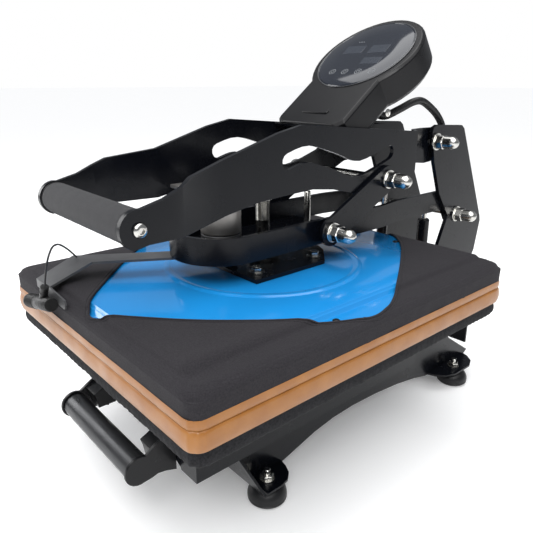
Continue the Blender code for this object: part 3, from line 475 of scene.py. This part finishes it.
low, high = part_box("pressure_screw")
bm = bmesh.new()
steps = [(low.z, 0.0080, 0), (low.z + 0.001, 0.0090, 0), (0.2990, 0.0090, 0)]
steps += threads(0.2995, 0.3240, 0.0090, 0.0012, 0.0007)
steps += [(0.3245, 0.0085, 0), (0.3250, 0.0118, 0), (0.3320, 0.0120, 0)]
lathe(bm, "z", 0.0, mid("pressure_screw").y, steps, 40)
piece("pressure_screw_rod", bm, STEEL, "pressure_screw")
bm = bmesh.new()
knob = [(0.3320, 0.0200, 0), (0.3326, 0.0240, 0), (0.3350, 0.0256, 0), (0.3640, 0.0256, 0),
        (0.3672, 0.0240, 0), (0.3690, 0.0205, 0), (0.3700, 0.0120, 0), (0.3694, 0.0090, 0)]
rings = []
for pos, r, kind in knob:
    ring = []
    for i in range(72):
        a = 2.0 * math.pi * i / 72
        dip = 0.0011 * (0.5 + 0.5 * math.cos(18.0 * a)) if r > 0.023 else 0.0
        ring.append(place("z", (r - dip) * math.cos(a),
                          mid("pressure_screw").y + (r - dip) * math.sin(a), pos))
    rings.append(ring)
rings_to_bm(bm, rings)
piece("pressure_knob", bm, PLASTIC, "pressure_screw", replace=False)

c = mid("guide_rod")
bm = bmesh.new()
lathe(bm, "z", c.x, c.y, [
    (0.2450, 0.0036, 0), (0.2501, 0.0036, 0), (0.2501, 0.0070, 1), (0.2507, 0.0075, 1),
    (0.2544, 0.0075, 1), (0.2550, 0.0068, 1), (0.2550, 0.0045, 0), (0.3240, 0.0045, 0),
    (0.3250, 0.0036, 0)], 48)
piece("guide_rod_bright", bm, STEEL, "guide_rod")
refine("screw_collar", 0.0004, 2)
for node, z0, z1 in (("electromagnet", 0.2768, 0.2942), ("armature", 0.2950, 0.3247)):
    ob = refine(node, 0.0005, 2, ZINC if node == "armature" else surface(
        "magnet_shell", (0.17, 0.17, 0.175), 0.4, metallic=0.8, bumps=((300.0, 0.08, 0.0002),),
        rough_vary=(60.0, 0.34, 0.48)))
for tag in ("l", "r"):
    refine("spring_cylinder_" + tag, 0.0004, 2)
    refine("spring_rod_" + tag, 0.0003, 1)

# ---------------------------------------------------------------- grip
low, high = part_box("foam_grip")
c = (low + high) / 2
half = high.x
bm = bmesh.new()
steps = [(-half, 0.0135, 0), (-half, 0.0160, 0), (-half + 0.0010, 0.0169, 0)]
count = 44
for k in range(1, count):
    x = -half + 0.001 + (2 * half - 0.002) * k / count
    steps.append((x, 0.0171 + 0.00012 * math.sin(1700.0 * x) * math.sin(420.0 * x), 0))
steps += [(half - 0.0010, 0.0169, 0), (half, 0.0160, 0), (half, 0.0135, 0)]
lathe(bm, "x", c.y, c.z, steps, 64)
piece("foam_sleeve", bm, FOAM, "foam_grip", smooth=50.0)
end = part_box("grip_core")[1].x
bm = bmesh.new()
side = [(0.0898, 0.0035, 0), (0.0967, 0.0035, 0), (0.0967, 0.0069, 0), (0.0978, 0.0070, 0),
        (0.0990, 0.0066, 0), (0.1002, 0.0052, 0), (end, 0.0034, 0), (end, 0.0028, 1),
        (end - 0.0022, 0.0026, 1)]
steps = [(-p, r, k) for p, r, k in reversed(side)]
steps += [(-0.0897, 0.0128, 0), (0.0897, 0.0128, 0)] + side
lathe(bm, "x", c.y, c.z, steps, 36)
piece("grip_core_bright", bm, STEEL, "grip_core")
for s in (-1, 1):
    bm = bmesh.new()
    lathe(bm, "x", c.y, c.z, [(s * 0.0881, 0.0173, 0), (s * 0.0884, 0.0177, 0),
                              (s * 0.0900, 0.0177, 0), (s * 0.0902, 0.0172, 0)], 56)
    piece("grip_ring_" + ("l" if s < 0 else "r"), bm, PLASTIC, "foam_grip", replace=False)


# ---------------------------------------------------------------- painted lid
def rounded(hx, hy, r, corner=10, side=24):
    """Rounded rectangle about the platen centre, with points all along its sides."""
    pts = []
    centres = [(hx - r, -hy + r, -90), (hx - r, hy - r, 0),
               (-hx + r, hy - r, 90), (-hx + r, -hy + r, 180)]
    for q in range(4):
        cu, cv, a0 = centres[q]
        pts += arc(cu, cv, r, a0, a0 + 90, corner)
        nu, nv, n0 = centres[(q + 1) % 4]
        a = Vector(pts[-1])
        b = Vector((nu + r * math.cos(math.radians(n0)), nv + r * math.sin(math.radians(n0))))
        for k in range(1, side):
            p = a.lerp(b, k / side)
            pts.append((p.x, p.y))
    return pts


def level(ring, z):
    return [Vector((u, v + MID_Y, z)) for u, v in ring]


lid_low, lid_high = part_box("blue_cover")
TOP = lid_high.z                                  # embossed disc, 0.2444
guide = rounded(0.1640, 0.2290, 0.020)


def disc(r):
    return [(r * u / math.hypot(u, v), r * v / math.hypot(u, v)) for u, v in guide]


rings = [level(rounded(0.2003, 0.2440, 0.012), lid_low.z),
         level(rounded(0.2003, 0.2440, 0.012), TOP - 0.0118),
         level(rounded(0.1999, 0.2436, 0.012), TOP - 0.0104),
         level(rounded(0.1985, 0.2422, 0.011), TOP - 0.0094),
         level(rounded(0.1700, 0.2350, 0.022), TOP - 0.0094),
         level(rounded(0.1688, 0.2338, 0.022), TOP - 0.0090),
         level(rounded(0.1672, 0.2322, 0.021), TOP - 0.0052),
         level(rounded(0.1662, 0.2312, 0.021), TOP - 0.0046),
         level(rounded(0.1650, 0.2300, 0.020), TOP - 0.0044),
         level(rounded(0.1642, 0.2292, 0.020), TOP - 0.0024),
         level(rounded(0.1632, 0.2282, 0.020), TOP - 0.0019)]
for r, z in ((0.1290, -0.0019), (0.1268, -0.0017), (0.1252, -0.0004), (0.1235, 0.0),
             (0.1195, 0.0), (0.1185, -0.0003), (0.1165, -0.0003), (0.1155, 0.0),
             (0.0700, 0.0), (0.0250, 0.0)):
    rings.append(level(disc(r), TOP + z))
bm = bmesh.new()
rings_to_bm(bm, rings, caps=(False, True))
lid = piece("blue_lid", bm, BLUE, "blue_cover", smooth=60.0)
lid.data.shade_smooth()
bm = bmesh.new()
for x, y in ((-0.118, -0.205), (-0.015, -0.2395), (0.1955, -0.030), (0.060, 0.205),
             (-0.1955, -0.020), (0.178, -0.055)):
    rivet = [(TOP - 0.0094, 0.0042, 0), (TOP - 0.0086, 0.0040, 0), (TOP - 0.0078, 0.0030, 0),
             (TOP - 0.0074, 0.0012, 0)]
    lift = 0.0075 if abs(x) < 0.163 and abs(y) < 0.228 else 0.0
    lathe(bm, "z", x, y + MID_Y, [(z + lift, r, k) for z, r, k in rivet], 20)
piece("lid_rivets", bm, PLASTIC, "blue_cover", replace=False)


# ---------------------------------------------------------------- coated covers
def band_ring(grow, z, wave, seed, corner_r=0.014):
    """Outline of a cover's edge band at one height, with small waves in it."""
    ring = []
    for u, v in rounded(HALF_X - 0.0004 + grow, HALF_Y - 0.0004 + grow, corner_r, 14, 60):
        d = math.hypot(u, v)
        push = wave * fuzz(u, v, z, 24.0, seed) + 0.5 * wave * fuzz(u, v, z, 70.0, seed + 3.0)
        far = math.hypot(HALF_X - abs(u), HALF_Y - abs(v))
        turn = math.atan2(abs(v) - HALF_Y + 0.020, abs(u) - HALF_X + 0.020)
        push -= 0.0013 * math.exp(-(far / 0.014) ** 2) * (0.5 + 0.5 * math.sin(17.0 * turn))
        ring.append(Vector((u * (1 + push / d), (v * (1 + push / d)) + MID_Y,
                            z + 0.6 * push)))
    return ring


RIM = 0.0005                                     # how far the cover's rim stands past its face


def cover_band(name, node, face_z, heights, seed, mat, fill):
    """Stretched cover: its flat sheet, the turn over the edge and the side band."""
    past = -RIM if face_z < heights[0] else RIM
    rings = [level(rounded(HALF_X - 0.030, HALF_Y - 0.030, 0.012, 14, 60), face_z),
             level(rounded(HALF_X - 0.0026, HALF_Y - 0.0026, 0.013, 14, 60), face_z),
             level(rounded(HALF_X - 0.0011, HALF_Y - 0.0011, 0.014, 14, 60),
                   face_z + past)]
    count = len(heights)
    for k, z in enumerate(heights):
        belly = math.sin(math.pi * (k + 0.5) / count)
        rings.append(band_ring(0.0004 + fill * belly, z, 0.0006, seed, 0.0144))
    bm = bmesh.new()
    rings_to_bm(bm, rings, caps=(True, False))
    ob = piece(name, bm, mat, node, smooth=180.0)
    return ob


UP_Z = CONTACT_Z
upper_band = cover_band("upper_coated_cover", "upper_cover_ptfe", UP_Z,
                        [UP_Z + 0.0008, UP_Z + 0.0024, UP_Z + 0.0044, UP_Z + 0.0064,
                         UP_Z + 0.0086, UP_Z + 0.0102], 1.0, PTFE, 0.0009)
LOW_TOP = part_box("lower_cover_ptfe")[1].z
lower_band = cover_band("lower_coated_cover", "lower_cover_ptfe", LOW_TOP,
                        [LOW_TOP - 0.0008, LOW_TOP - 0.0030, LOW_TOP - 0.0060,
                         LOW_TOP - 0.0090, LOW_TOP - 0.0120, LOW_TOP - 0.0150,
                         LOW_TOP - 0.0180, LOW_TOP - 0.0198], 7.0, PTFE, 0.0019)


# ---------------------------------------------------------------- stretch cloth
PROFILE_X = [(0.0, 0.2300), (0.0012, 0.2330), (0.0040, 0.2362), (0.0110, 0.2384),
             (0.0290, 0.2390), (0.0350, 0.2438), (0.0400, 0.2450), (0.3, 0.2450)]
PROFILE_Y = [(0.0, 0.2300), (0.0012, 0.2330), (0.0040, 0.2362), (0.0080, 0.2384),
             (0.0118, 0.2390), (0.0152, 0.2438), (0.0200, 0.2450), (0.3, 0.2450)]
EDGE = [(0.012, -0.244), (0.037, -0.229), (0.102, -0.173), (0.153, -0.113), (0.185, -0.062),
        (0.200, -0.020), (0.190, 0.024), (0.128, 0.1225), (0.076, 0.197), (0.038, 0.230),
        (0.0, 0.244), (-0.038, 0.230), (-0.076, 0.197), (-0.128, 0.1225), (-0.190, 0.024),
        (-0.200, -0.015), (-0.185, -0.062), (-0.122, -0.132), (-0.044, -0.2055),
        (-0.015, -0.230)]


def soften(loop, times):
    """Rounds the corners of a closed outline."""
    for _ in range(times):
        out = []
        for i, (ax, ay) in enumerate(loop):
            bx, by = loop[(i + 1) % len(loop)]
            out.append((0.8 * ax + 0.2 * bx, 0.8 * ay + 0.2 * by))
            out.append((0.2 * ax + 0.8 * bx, 0.2 * ay + 0.8 * by))
        loop = out
    return loop


def reach(loop, a):
    """Distance from the centre to a closed outline in the direction a."""
    dx, dy = math.cos(a), math.sin(a)
    best = 0.0
    for i, (ax, ay) in enumerate(loop):
        bx, by = loop[(i + 1) % len(loop)]
        ex, ey = bx - ax, by - ay
        det = dx * ey - dy * ex
        if abs(det) < 1e-12:
            continue
        t = (ax * ey - ay * ex) / det
        s = (ax * dy - ay * dx) / det
        if t > 0.0 and -1e-6 <= s <= 1.000001:
            best = max(best, t)
    return best


def curve(table, d):
    for (d0, z0), (d1, z1) in zip(table, table[1:]):
        if d <= d1:
            t = max(0.0, (d - d0) / (d1 - d0))
            t = t * t * (3.0 - 2.0 * t) * 0.5 + t * 0.5
            return z0 + (z1 - z0) * t
    return table[-1][1]


def cloth_z(u, v):
    r = 0.020
    cx, cy = HALF_X - abs(u), HALF_Y - abs(v)
    if cx < r and cy < r:
        d = r - math.hypot(r - cx, r - cy)
        return min(curve(PROFILE_X, max(d, 0.0)), curve(PROFILE_Y, max(d, 0.0)))
    return min(curve(PROFILE_X, max(cx, 0.0)), curve(PROFILE_Y, max(cy, 0.0)))


opening = soften(EDGE, 3)
outline = rounded(HALF_X, HALF_Y, 0.014, 12, 40)
COUNT = 420
angles = [2.0 * math.pi * i / COUNT for i in range(COUNT)]
outer = [reach(outline, a) for a in angles]
inner = [min(reach(opening, a), o - 0.0035) for a, o in zip(angles, outer)]
rings = []
for z in (0.2131, 0.2136, 0.2160, 0.2190, 0.2225, 0.2260, 0.2285):
    ring = []
    for a, o in zip(angles, outer):
        u, v = o * math.cos(a), o * math.sin(a)
        low_share = (0.2300 - z) / 0.017
        push = 0.0010 * low_share * fuzz(u, v, 0.0, 30.0, 4.0)
        push += 0.0005 * fuzz(u, v, z, 60.0, 9.0)
        hem = 0.0009 * low_share * (fuzz(u, v, 0.0, 18.0, 11.0) + 0.4)
        ring.append(Vector(((o + push - 0.0002) * math.cos(a),
                            (o + push - 0.0002) * math.sin(a) + MID_Y, z + hem)))
    rings.append(ring)
STEPS = 46
for k in range(STEPS + 1):
    s = (k / STEPS) ** 1.8
    ring = []
    for a, o, i in zip(angles, outer, inner):
        d = o + (i - o) * s
        u, v = d * math.cos(a), d * math.sin(a)
        z = cloth_z(u, v)
        inset = min(HALF_X - abs(u), HALF_Y - abs(v))
        fade = min(1.0, inset / 0.02) * min(1.0, (d - i) / 0.02 + 0.15)
        z += 0.00030 * fade * (fuzz(u, v, 0.0, 26.0, 2.0) + 0.5 * fuzz(u, v, 0.0, 70.0, 5.0))
        ring.append(Vector((u, v + MID_Y, z)))
    rings.append(ring)
edge = rings[-1]
rings.append([p + Vector((0, 0, -0.0005)) + 0.0004 * Vector((-math.cos(a), -math.sin(a), 0))
              for p, a in zip(edge, angles)])
rings.append([p + Vector((0, 0, -0.0011)) for p in edge])
rings.append([p + Vector((0.003 * math.cos(a), 0.003 * math.sin(a), -0.0011))
              for p, a in zip(edge, angles)])
bm = bmesh.new()
rings_to_bm(bm, rings, caps=(False, False))
hood = piece("stretch_hood", bm, CLOTH, "upper_cover_fabric", smooth=180.0)
bm = bmesh.new()
for run, radius in ((0.0016, 0.0009), (0.0052, 0.00035)):
    path = []
    for a, o, i in zip(angles, outer, inner):
        d = min(i + run, o - 0.001)
        u, v = d * math.cos(a), d * math.sin(a)
        path.append(Vector((u, v + MID_Y, cloth_z(u, v) + 0.2 * radius)))
    rows = []
    for k, p in enumerate(path):
        ahead = (path[(k + 1) % COUNT] - path[k - 1]).normalized()
        side = ahead.cross(Vector((0, 0, 1))).normalized()
        rows.append([p + radius * (1.6 * side * math.cos(t) + Vector((0, 0, 1)) * math.sin(t))
                     for t in [2 * math.pi * j / 8 for j in range(8)]])
    rows.append(rows[0])
    rings_to_bm(bm, rows, caps=(False, False))
piece("hood_binding", bm, CLOTH, "upper_cover_fabric", replace=False, smooth=180.0)

# ---------------------------------------------------------------- gathered skirt
low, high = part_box("lower_cover_skirt")
skirt_x, skirt_y = high.x, (high.y - low.y) / 2
rings = []
tiers = [(high.z, -0.0012), (high.z - 0.0006, -0.0004), (high.z - 0.0014, -0.0005),
         (high.z - 0.0030, -0.0010), (high.z - 0.0060, -0.0004), (high.z - 0.0095, 0.0),
         (high.z - 0.0125, -0.0002), (high.z - 0.0150, -0.0006), (high.z - 0.0168, -0.0014),
         (low.z + 0.0002, -0.0030), (low.z + 0.0001, -0.0100)]
for k, (z, grow) in enumerate(tiers):
    ring = []
    share = min(1.0, max(0.0, (high.z - 0.0014 - z) / 0.006))
    run = 0.0
    last = None
    for u, v in rounded(skirt_x + grow, skirt_y + grow, 0.013, 14, 110):
        if last is not None:
            run += math.hypot(u - last[0], v - last[1])
        last = (u, v)
        d = math.hypot(u, v)
        push = 0.0006 * share * math.sin(run * 640.0 + 3.0 * fuzz(u, v, 0.0, 14.0, 6.0))
        push += 0.0009 * share * (fuzz(u, v, z, 45.0, 8.0) - 0.5)
        ring.append(Vector((u * (1 + push / d), v * (1 + push / d) + MID_Y, z)))
    rings.append(ring)
bm = bmesh.new()
rings_to_bm(bm, rings, caps=(False, False))
skirt = piece("gathered_skirt", bm, SKIRT, "lower_cover_skirt", smooth=180.0)
bm = bmesh.new()
rows = []
for u, v in rounded(skirt_x - 0.0003, skirt_y - 0.0003, 0.013, 14, 60):
    d = math.hypot(u, v)
    c = Vector((u, v + MID_Y, high.z - 0.0004 + 0.0003 * fuzz(u, v, 0.0, 40.0, 2.0)))
    out = Vector((u / d, v / d, 0.0))
    rows.append([c + 0.0007 * (out * math.cos(t) + Vector((0, 0, 1)) * math.sin(t))
                 for t in [2 * math.pi * j / 8 for j in range(8)]])
rows.append(rows[0])
rings_to_bm(bm, rows, caps=(False, False))
piece("skirt_piping", bm, GREY, "lower_cover_skirt", replace=False, smooth=180.0)
refine("silicone_pad", 0.0008, 2)
for node in ("lower_platen", "heating_platen"):
    refine(node, 0.0008, 2)

# ---------------------------------------------------------------- controller
TILT = math.radians(37.0)


def on_face(u, w, n):
    return Vector((u, 0.0955 + w * math.cos(TILT) - n * math.sin(TILT),
                   0.500 + w * math.sin(TILT) + n * math.cos(TILT)))


def plate(bm, cu, cw, hu, hw, r, n0, n1, bevel=0.0):
    """Rounded plate on the controller's face."""
    rings = []
    for n, inset in ((n0, 0.0), (n1 - bevel, 0.0), (n1, bevel)):
        ring = []
        for q, (su, sw) in enumerate(((1, -1), (1, 1), (-1, 1), (-1, -1))):
            for k in range(7):
                a = math.radians(-90 + 90 * q + 15 * k)
                ring.append(on_face(cu + su * (hu - r) + (r - inset) * math.cos(a),
                                    cw + sw * (hw - r) + (r - inset) * math.sin(a), n))
        rings.append(ring)
    rings_to_bm(bm, rings)


refine("controller_housing", 0.0011, 3, PLASTIC, 20.0)
bm = bmesh.new()
rings = []
for r, n in ((0.0690, 0.0002), (0.0688, 0.0010), (0.0682, 0.0013), (0.0677, 0.0008),
             (0.0675, 0.0012), (0.0669, 0.0014), (0.0400, 0.0014), (0.0100, 0.0014)):
    rings.append([on_face(r * math.cos(math.radians(3 * i)), r * math.sin(math.radians(3 * i)), n)
                  for i in range(120)])
rings_to_bm(bm, rings)
piece("touch_glass", bm, PANEL, "controller_glass", smooth=20.0)
bm = bmesh.new()
rings = []
for r, n in ((0.0704, 0.0001), (0.0704, 0.0011), (0.0698, 0.0014), (0.0692, 0.0011),
             (0.0691, 0.0001)):
    rings.append([on_face(r * math.cos(math.radians(3 * i)), r * math.sin(math.radians(3 * i)), n)
                  for i in range(120)])
rings_to_bm(bm, rings, caps=(False, False))
piece("glass_bezel", bm, surface("bezel", (0.055, 0.057, 0.062), 0.28, coat=0.2,
      bumps=((800.0, 0.05, 0.0002),), rough_vary=(40.0, 0.22, 0.34)), "controller_glass",
      replace=False)
bm = bmesh.new()
plate(bm, -0.0255, 0.0100, 0.0165, 0.0085, 0.0015, 0.0012, 0.0016, 0.0002)
plate(bm, 0.0170, 0.0100, 0.0150, 0.0085, 0.0015, 0.0012, 0.0016, 0.0002)
plate(bm, 0.0205, -0.0155, 0.0155, 0.0070, 0.0015, 0.0012, 0.0016, 0.0002)
piece("display_windows", bm, DISPLAY, "controller_glass", replace=False)
bm = bmesh.new()
for cu in (-0.030, -0.008, 0.015, 0.038):
    for r in (0.0052, 0.0026):
        rings = []
        for rr, n in ((r, 0.0013), (r, 0.0016), (r - 0.0007, 0.0016), (r - 0.0007, 0.0013)):
            rings.append([on_face(cu + rr * math.cos(math.radians(12 * i)),
                                  -0.039 + rr * math.sin(math.radians(12 * i)), n)
                          for i in range(30)])
        rings_to_bm(bm, rings, caps=(False, False))
for cu in (-0.028, -0.024, -0.020):
    plate(bm, cu, 0.0270, 0.0009, 0.0009, 0.0008, 0.0013, 0.0016)
piece("touch_marks", bm, MARKS, "controller_glass", replace=False)
bm = bmesh.new()
plate(bm, 0.0, -0.1190, 0.0230, 0.0042, 0.0040, -0.0004, 0.0016, 0.0008)
piece("housing_bar", bm, PLASTIC, "controller_housing", replace=False)


# ---------------------------------------------------------------- laser marker
def turned_between(bm, a, b, steps, n=40, flute=0.0, count=24):
    """Turned shape along a slanted axis; steps are (distance from a, radius)."""
    axis = (b - a).normalized()
    side = axis.cross(Vector((0, 1, 0))).normalized()
    up = axis.cross(side)
    rings = []
    for d, r in steps:
        ring = []
        for i in range(n):
            t = 2 * math.pi * i / n
            rr = r - flute * (0.5 + 0.5 * math.cos(count * t)) if abs(flute) > 0 else r
            ring.append(a + axis * d + rr * (math.cos(t) * side + math.sin(t) * up))
        rings.append(ring)
    rings_to_bm(bm, rings)


start = Vector((-0.118, -0.3507, 0.2215))
finish = Vector((-0.045, -0.3507, 0.2385))
length = (finish - start).length
bm = bmesh.new()
steps = [(0.0, 0.0052), (0.0, 0.0076), (0.0006, 0.0082), (0.0040, 0.0083), (0.0042, 0.0077),
         (0.0050, 0.0077)]
d = 0.0052
while d < 0.0300:
    steps += [(d, 0.0083), (d + 0.0009, 0.0086), (d + 0.0018, 0.0083), (d + 0.0020, 0.0079)]
    d += 0.0026
steps += [(0.0310, 0.0080), (length - 0.0030, 0.0080), (length - 0.0024, 0.0076),
          (length - 0.0008, 0.0076), (length, 0.0068), (length, 0.0030)]
turned_between(bm, start, finish, steps, 72, 0.00025, 24)
turned_between(bm, Vector((-0.072, -0.3507, 0.2335)), Vector((-0.059, -0.3507, 0.2560)),
               [(0.0, 0.0042), (0.0, 0.0046), (0.0165, 0.0046), (0.0168, 0.0041),
                (0.0180, 0.0041), (0.0183, 0.0046), (0.0250, 0.0046), (0.0258, 0.0036)], 32)
piece("laser_barrel", bm, KNURL, "laser_module")
bm = bmesh.new()
turned_between(bm, Vector((-0.0900, -0.3405, 0.2440)), Vector((-0.0900, -0.3440, 0.2440)),
               [(0.0, 0.0034), (0.0020, 0.0034), (0.0026, 0.0028), (0.0026, 0.0012)], 24)
piece("laser_clamp_screw", bm, STEEL, "laser_strap", replace=False)

bm = bmesh.new()
lathe(bm, "x", 0.0745, 0.4260, [(0.0585, 0.0040, 0), (0.0596, 0.0052, 0), (0.0606, 0.0052, 0),
                                (0.0615, 0.0040, 0), (0.0619, 0.0022, 0), (0.0612, 0.0016, 0)], 28)
piece("housing_screw", bm, STEEL, "controller_housing", replace=False)

# ---------------------------------------------------------------- light and floor
scene = bpy.context.scene
scene.view_settings.view_transform = "Standard"
scene.view_settings.look = "None"
world = bpy.data.worlds.new("studio")
scene.world = world
world.use_nodes = True
tree = world.node_tree
back = tree.nodes["Background"]
back.inputs[0].default_value = (1.0, 1.0, 1.0, 1.0)
back.inputs[1].default_value = 1.0
room = tree.nodes.new("ShaderNodeBackground")
room.inputs[0].default_value = (0.92, 0.95, 1.0, 1.0)
room.inputs[1].default_value = 0.26
path = tree.nodes.new("ShaderNodeLightPath")
mix = tree.nodes.new("ShaderNodeMixShader")
tree.links.new(path.outputs["Is Camera Ray"], mix.inputs[0])
tree.links.new(room.outputs[0], mix.inputs[1])
tree.links.new(back.outputs[0], mix.inputs[2])
tree.links.new(mix.outputs[0], tree.nodes["World Output"].inputs[0])


def softbox(name, where, target, size_x, size_y, power):
    lamp = bpy.data.lights.new(name, "AREA")
    lamp.shape = "RECTANGLE"
    lamp.size = size_x
    lamp.size_y = size_y
    lamp.energy = power
    ob = bpy.data.objects.new(name, lamp)
    scene.collection.objects.link(ob)
    ob.location = where
    ob.rotation_euler = (Vector(target) - Vector(where)).to_track_quat("-Z", "Y").to_euler()


softbox("key", (1.3, -1.3, 1.9), (0.0, 0.0, 0.25), 1.1, 1.1, 22.0)
softbox("top", (-0.2, 0.2, 2.0), (0.0, 0.0, 0.2), 1.6, 1.6, 14.0)
sky = bpy.data.lights.new("sky", "SUN")
sky.energy = 2.3
sky.angle = math.radians(75.0)
sky_ob = bpy.data.objects.new("sky", sky)
scene.collection.objects.link(sky_ob)
sky_ob.rotation_euler = (math.radians(14.0), math.radians(10.0), 0.0)
softbox("side", (-1.6, -0.9, 1.0), (0.0, 0.0, 0.25), 0.7, 1.4, 14.0)

bm = bmesh.new()
corners = [bm.verts.new((sx * 40.0, sy * 40.0, -0.0005)) for sx, sy in
           ((-1, -1), (1, -1), (1, 1), (-1, 1))]
bm.faces.new(corners)
mesh = bpy.data.meshes.new("floor")
bm.to_mesh(mesh)
bm.free()
floor = bpy.data.objects.new("floor", mesh)
scene.collection.objects.link(floor)
pale = surface("pale_floor", (0.93, 0.93, 0.93), 0.7, mottle=(3.0, (0.92, 0.92, 0.92), 0.5))
glow = pale.node_tree.nodes["Principled BSDF"]
glow.inputs["Emission Color"].default_value = (1.0, 1.0, 1.0, 1.0)
glow.inputs["Emission Strength"].default_value = 0.16
mesh.materials.append(pale)
